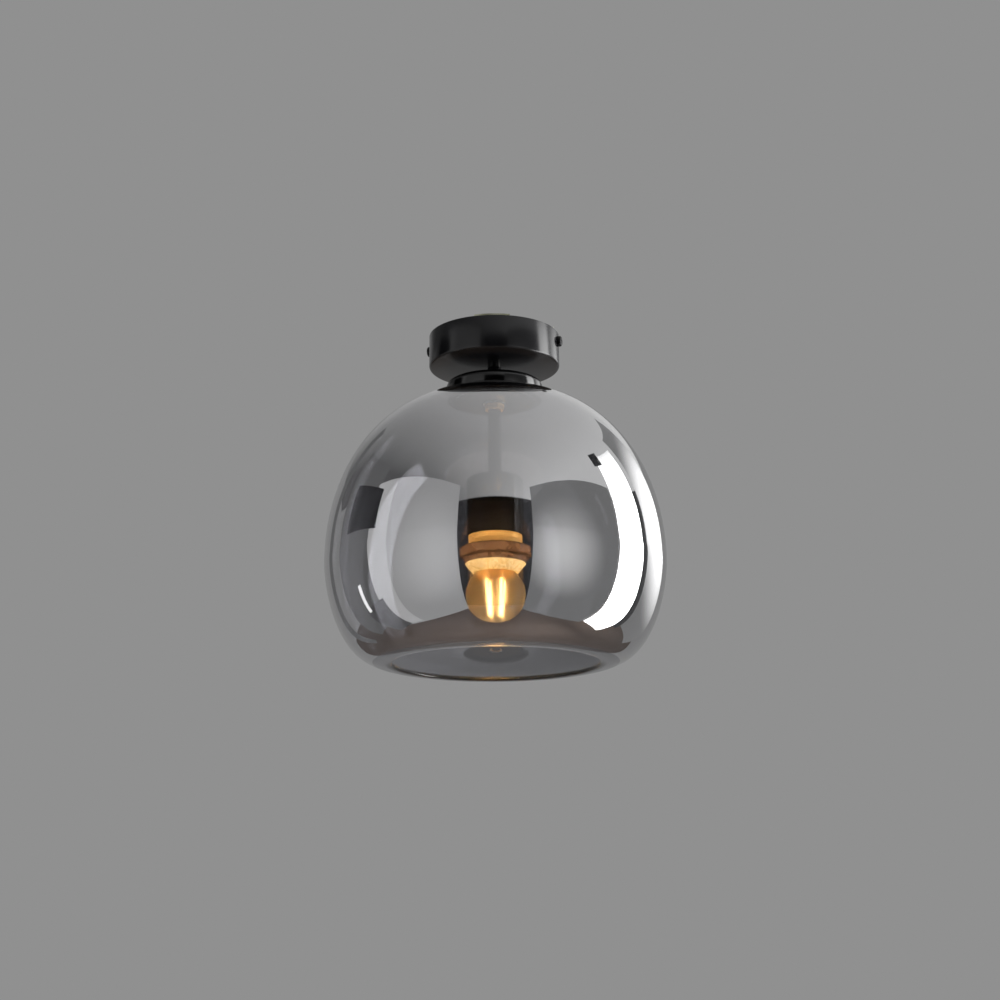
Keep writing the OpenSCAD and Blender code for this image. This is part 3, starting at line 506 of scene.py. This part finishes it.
screwShell = {"wall": 0.4, "hole": 9, "pitch": 3.629, "depth": 0.9, "blankTop": 3, "blankLow": 9.4,
              "steps": 90}
low, high = levels("screw_shell")
r, t = reach("screw_shell"), screwShell["wall"]
threadLow = low + screwShell["blankLow"]
shellThread = turnPiece("brass_screw_shell", rise(r, low, high, screwShell["steps"]) + [
    (screwShell["hole"], high), (screwShell["hole"], high - t)] +
    rise(r - t, high - t, low, screwShell["steps"]), steps=96, smooth=60)
rollThread(shellThread, dict(screwShell, low=threadLow, high=high - screwShell["blankTop"],
                             inside=r - 2 * t))
dress(shellThread, "fixture", "brass", [stripBrass], "screw_shell")
print("lampholder made")

# Bulb
bulb = {"radius": 22, "wall": 0.9, "neck": 12.4, "neckDepth": 5, "neckDrop": 0.4, "neckAngle": 52,
        "neckPull": 4, "neckSteps": 12, "bowlSteps": 40}
neckTop = levels("bulb_glass")[1]
bulbRim = neckTop - bulb["neckDepth"]
bulbCentre = levels("bulb_glass")[0] + bulb["radius"]


def bulbLine(inset):
    r, n = bulb["radius"] - inset, bulb["neck"] - inset
    turned = math.radians(bulb["neckAngle"])
    join = (r * math.sin(turned), bulbCentre + r * math.cos(turned))
    start = bulbRim - bulb["neckDrop"]
    points = [(n, start), (n, start - bulb["neckPull"]),
              (join[0] - math.cos(turned) * bulb["neckPull"],
               join[1] + math.sin(turned) * bulb["neckPull"]), join]
    line = [(n, neckTop)]
    for i in range(bulb["neckSteps"] + 1):
        s = i / bulb["neckSteps"]
        shares = ((1 - s) ** 3, 3 * s * (1 - s) ** 2, 3 * s * s * (1 - s), s ** 3)
        line.append(tuple(sum(w * p[k] for w, p in zip(shares, points)) for k in (0, 1)))
    for i in range(1, bulb["bowlSteps"] + 1):
        a = turned + (math.pi - turned) * i / bulb["bowlSteps"]
        out = max(r * math.sin(a), 0) if i < bulb["bowlSteps"] else 0
        line.append((out, bulbCentre + r * math.cos(a)))
    return line


bulbShell = turnPiece("bulb_bowl", bulbLine(0) + bulbLine(bulb["wall"])[::-1], steps=96, smooth=60)
dress(bulbShell, "bulb", "bulb_glass", [bulbGlass], "bulb_glass")

bulbCap = {"wall": 0.4, "rim": 0.1, "rimEdge": 0.1, "rimHeight": 2.4, "rimStep": 0.6, "shoulder": 2,
           "shoulderIn": 1, "shoulderDrop": 0.6, "hole": 10.75, "holeDepth": 1.4, "innerDrop": 0.2,
           "innerFoot": 0.5, "steps": 70}
low, high = levels("bulb_cap")
r, t = reach("bulb_cap") - bulbCap["rim"], bulbCap["wall"]
rimTop = low + bulbCap["rimHeight"]
shoulder = high - bulbCap["shoulder"]
threadTop = high - bulbCap["shoulderDrop"]
threadedCap = turnPiece("bulb_screw_cap", [
    (r - t, low), (r + bulbCap["rim"], low, bulbCap["rimEdge"]),
    (r + bulbCap["rim"], rimTop - bulbCap["rimStep"])] +
    rise(r, rimTop, shoulder, bulbCap["steps"]) + [
    (r - bulbCap["shoulderIn"], threadTop), (bulbCap["hole"], high),
    (bulbCap["hole"], high - bulbCap["holeDepth"])] +
    rise(r - t, shoulder - bulbCap["innerDrop"], low + bulbCap["innerFoot"], bulbCap["steps"]),
    steps=96, smooth=60)
rollThread(threadedCap, {"pitch": screwShell["pitch"], "depth": screwShell["depth"], "low": threadLow,
                         "high": threadTop, "inside": r - 2 * t})
dress(threadedCap, "bulb", "nickel", [nickel], "bulb_cap")
print("bulb made")

# CAD nodes that stay, with their finishes
finishes = {
    "mounting_bracket": yellowZinc, "canopy_screws": blackScrews, "terminal_block": whiteNylon,
    "terminal_sleeves": stripBrass, "terminal_screws": brightZinc, "block_screws": brightZinc,
    "earth_screw": stripBrass, "earth_tag": brightZinc, "live_lead": brownPvc, "neutral_lead": bluePvc,
    "earth_lead": earthPvc, "stem_nut": yellowZinc, "stem_washer": brightZinc,
    "threaded_pipe": yellowZinc, "upper_gasket": blackRubber, "lower_gasket": clearSilicone,
    "clamp_disc": blackLacquer, "clamp_washer": brightZinc, "clamp_nut": turnedBrass,
    "cup_nut": turnedBrass, "holder_dome": brownPhenolic, "holder_insert": creamCeramic,
    "terminal_posts": stripBrass, "post_screws": brightZinc,
    "centre_contact": stripBrass, "bulb_contact": solder, "bulb_insulator": blackGlass,
    "bulb_stem": stemGlass, "bulb_filaments": litPhosphor, "bulb_supports": wire}
for node, material in finishes.items():
    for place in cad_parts[node].material_slots:
        place.material = material
print("finishes on the packed nodes")

# Camera, stage and lights
view = {"azimuth": 12.7, "pitch": 14.65, "roll": -0.4, "distance": 1254.3, "aside": 3.6, "level": -456.5,
        "lens": 63.18}
turned = math.radians(view["azimuth"])
across, away = math.cos(turned), math.sin(turned)
bpy.ops.object.camera_add(
    location=((view["distance"] * away + view["aside"] * across) * mm,
              (-view["distance"] * across + view["aside"] * away) * mm, view["level"] * mm),
    rotation=(math.radians(90 + view["pitch"]), 0, turned))
camera = bpy.context.object
camera.rotation_euler.rotate_axis("Z", math.radians(view["roll"]))
camera.data.lens = view["lens"]
camera.data.sensor_width = 36
camera.data.clip_start = 0.01
camera.data.clip_end = 100
bpy.context.scene.camera = camera
bpy.context.scene.view_settings.view_transform = "Standard"

backdrop = {"colour": "#909090"}
world = bpy.data.worlds.new("studio")
bpy.context.scene.world = world
world.use_nodes = True
world.node_tree.nodes["Background"].inputs["Color"].default_value = fromHex(backdrop["colour"])
world.node_tree.nodes["Background"].inputs["Strength"].default_value = 1.0


# A glowing card: evenly, round a bright spot, or from dim to bright across it
def makeGlow(name, card):
    material = newMaterial(name)
    light = addNode(material, "ShaderNodeEmission",
                    {"Color": fromHex(card.get("colour", "#ffffff")), "Strength": card["strength"]})
    place = addNode(material, "ShaderNodeTexCoord").outputs["Object"]
    if "spot" in card:
        spot = card["spot"]
        away = addNode(material, "ShaderNodeVectorMath",
                       {"operation": "DISTANCE", 1: (*cardPoint(card["radius"], spot["side"]), spot["up"])},
                       {0: place})
        fall = addNode(material, "ShaderNodeMapRange",
                       {"interpolation_type": "SMOOTHSTEP", "From Min": spot["core"],
                        "From Max": spot["reach"], "To Min": spot["strength"], "To Max": card["strength"]},
                       {"Value": away.outputs["Value"]})
        material.node_tree.links.new(fall.outputs["Result"], light.inputs["Strength"])
    if "slope" in card:
        slope = card["slope"]
        parts = addNode(material, "ShaderNodeSeparateXYZ", {}, {"Vector": place})
        climb = addNode(material, "ShaderNodeMapRange",
                       {"From Min": slope["start"], "From Max": slope["end"], "To Min": slope["strength"],
                        "To Max": card["strength"]}, {"Value": parts.outputs[slope["axis"]]})
        material.node_tree.links.new(climb.outputs["Result"], light.inputs["Strength"])
    addNode(material, "ShaderNodeOutputMaterial", {}, {"Surface": light.outputs["Emission"]})
    return material


# Sides are angles round the globe from the camera, to its right, and radii are in metres
def cardPoint(radius, side):
    angle = math.radians(view["azimuth"] + side)
    return radius * math.sin(angle), -radius * math.cos(angle)


# A card is an upright strip of a cylinder round the globe, or a flat one if it faces a side of its own;
# up is measured from the globe's widest level
def addCard(name, card, steps=20):
    sheet = bmesh.new()
    columns = []
    for i in range(steps + 1):
        side = card["from"] + (card["to"] - card["from"]) * i / steps
        at = cardPoint(card["radius"] / math.cos(math.radians(side - card.get("facing", side))), side)
        columns.append([sheet.verts.new((*at, card[end])) for end in ("low", "high")])
    for left, right in zip(columns, columns[1:]):
        sheet.faces.new((left[0], right[0], right[1], left[1]))
    mesh = bpy.data.meshes.new(name)
    sheet.to_mesh(mesh)
    sheet.free()
    placed = bpy.data.objects.new(name, mesh)
    bpy.context.collection.objects.link(placed)
    placed.location.z = widest * mm
    mesh.materials.append(makeGlow(name, card))
    placed.visible_camera = False


studio = {
    "leftPanel": {"radius": 1.0, "facing": -56, "from": -87.5, "to": -23, "low": -1.3, "high": 0.70,
                  "strength": 0.5, "spot": {"side": -35, "up": -0.12, "core": 0.0, "reach": 0.8,
                                             "strength": 0.8}},
    "leftBand": {"radius": 0.985, "facing": -56, "from": -87.5, "to": -71, "low": -1.2, "high": 0.69,
                 "strength": 0.7},
    "rightPanel": {"radius": 1.0, "facing": 52, "from": 23, "to": 83.6, "low": -1.3, "high": 0.645,
                   "strength": 0.26, "spot": {"side": 41.5, "up": -0.08, "core": 0.0, "reach": 0.62,
                                              "strength": 0.98}},
    "strip": {"radius": 1.0, "from": 84, "to": 108, "low": -1.0, "high": 0.9, "strength": 9.0,
              "slope": {"axis": "Z", "start": 0.95, "end": 0.2, "strength": 1.2}},
    "stripBox": {"radius": 0.99, "from": 80.5, "to": 89, "low": 0.78, "high": 0.95, "strength": 0.0},
    "stripShade": {"radius": 1.0, "from": 108, "to": 113.5, "low": -0.65, "high": 0.5, "strength": 0.06},
    "cameraFlag": {"radius": 1.35, "facing": 0, "from": -26, "to": 26, "low": -1.42, "high": 0.63,
                   "strength": 0.0},
    "leftFlag": {"radius": 0.98, "facing": -95, "from": -110, "to": -81, "low": 0.262, "high": 0.56,
                 "strength": 0.0},
    "lowFlag": {"radius": 0.975, "from": -103, "to": -83, "low": -1.08, "high": -0.355, "strength": 0.08},
    "leftDim": {"radius": 1.3, "from": -120, "to": -86, "low": -1.0, "high": 1.05, "strength": 0.14},
    "leftLine": {"radius": 1.2, "from": -139, "to": -132, "low": -0.8, "high": 1.3, "strength": 0.14},
    "rightWall": {"radius": 1.1, "from": 114, "to": 142, "low": -0.6, "high": 1.25, "strength": 0.3,
                  "spot": {"side": 130, "up": 0.33, "core": 0.0, "reach": 0.62, "strength": 3.0}},
    "leftTube": {"radius": 0.97, "from": -101.2, "to": -98.2, "low": -0.40, "high": -0.13, "strength": 1.8},
}
for name, card in studio.items():
    addCard(name, card)

overhead = {"height": 1.1, "front": 2.26, "back": 1.9, "half": 2.3, "strength": 0.9,
            "slope": {"axis": "X", "start": -1.5, "end": 1.2, "strength": 0.1}}
bpy.ops.mesh.primitive_plane_add(size=1, location=(0, 0, 0))
softbox = bpy.context.object
softbox.name = "overhead"
bpy.ops.object.mode_set(mode="EDIT")
bpy.ops.transform.resize(value=(2 * overhead["half"], overhead["front"] + overhead["back"], 1))
bpy.ops.transform.translate(value=(0, (overhead["back"] - overhead["front"]) / 2, 0))
bpy.ops.object.mode_set(mode="OBJECT")
softbox.location = (0, 0, widest * mm + overhead["height"])
softbox.rotation_euler = (0, 0, turned)
softbox.data.materials.append(makeGlow("overhead", overhead))
softbox.visible_camera = False

# a pale floor, which the mirror glass shows darker and browner, as in the photo
floor = {"level": -1.66, "size": 8, "colours": ("#776559", "#7f6e63"), "pale": "#e6e3de"}
bpy.ops.mesh.primitive_plane_add(size=floor["size"], location=(0, 0, floor["level"]))
floorPlane = bpy.context.object
floorPlane.name = "floor"
floorLook = makeSurface("pale_floor", {"colours": floor["colours"], "patchSize": 400,
    "roughness": (0.6, 0.7), "grainSize": 30, "grainDepth": 0.1})
rays = addNode(floorLook, "ShaderNodeLightPath")
direct = addNode(floorLook, "ShaderNodeMath", {"operation": "MAXIMUM"},
                 {0: rays.outputs["Is Camera Ray"], 1: rays.outputs["Is Transmission Ray"]})
shader = floorLook.node_tree.nodes["Principled BSDF"]
tint = shader.inputs["Base Color"].links[0].from_socket
pale = addNode(floorLook, "ShaderNodeMix", {"data_type": "RGBA", 7: fromHex(floor["pale"])},
               {0: direct.outputs["Value"], 6: tint})
floorLook.node_tree.links.new(pale.outputs[2], shader.inputs["Base Color"])
floorPlane.data.materials.append(floorLook)

# the lit filaments' light, a small warm lamp inside the bulb
lamp = {"colour": "#ffe2b4", "power": 9.5, "size": 0.01}
# and what the globe throws back on the lampholder, a ring of weak lamps round it
bounce = {"colour": "#ffd9a6", "power": 0.45, "size": 0.008, "count": 8, "radius": 42, "level": -172}


def addLamp(at, look):
    bpy.ops.object.light_add(type="POINT", location=at)
    bulbLight = bpy.context.object
    bulbLight.data.color = fromHex(look["colour"])[:3]
    bulbLight.data.energy = look["power"]
    bulbLight.data.shadow_soft_size = look["size"]
    bulbLight.visible_glossy = False
    bulbLight.visible_transmission = False
    bulbLight.visible_camera = False


addLamp((0, 0, (bulbCentre + 1) * mm), lamp)
for i in range(bounce["count"]):
    a = fullTurn * (i + 0.5) / bounce["count"]
    addLamp((bounce["radius"] * math.cos(a) * mm, bounce["radius"] * math.sin(a) * mm,
             bounce["level"] * mm), bounce)
print("stage and camera set")
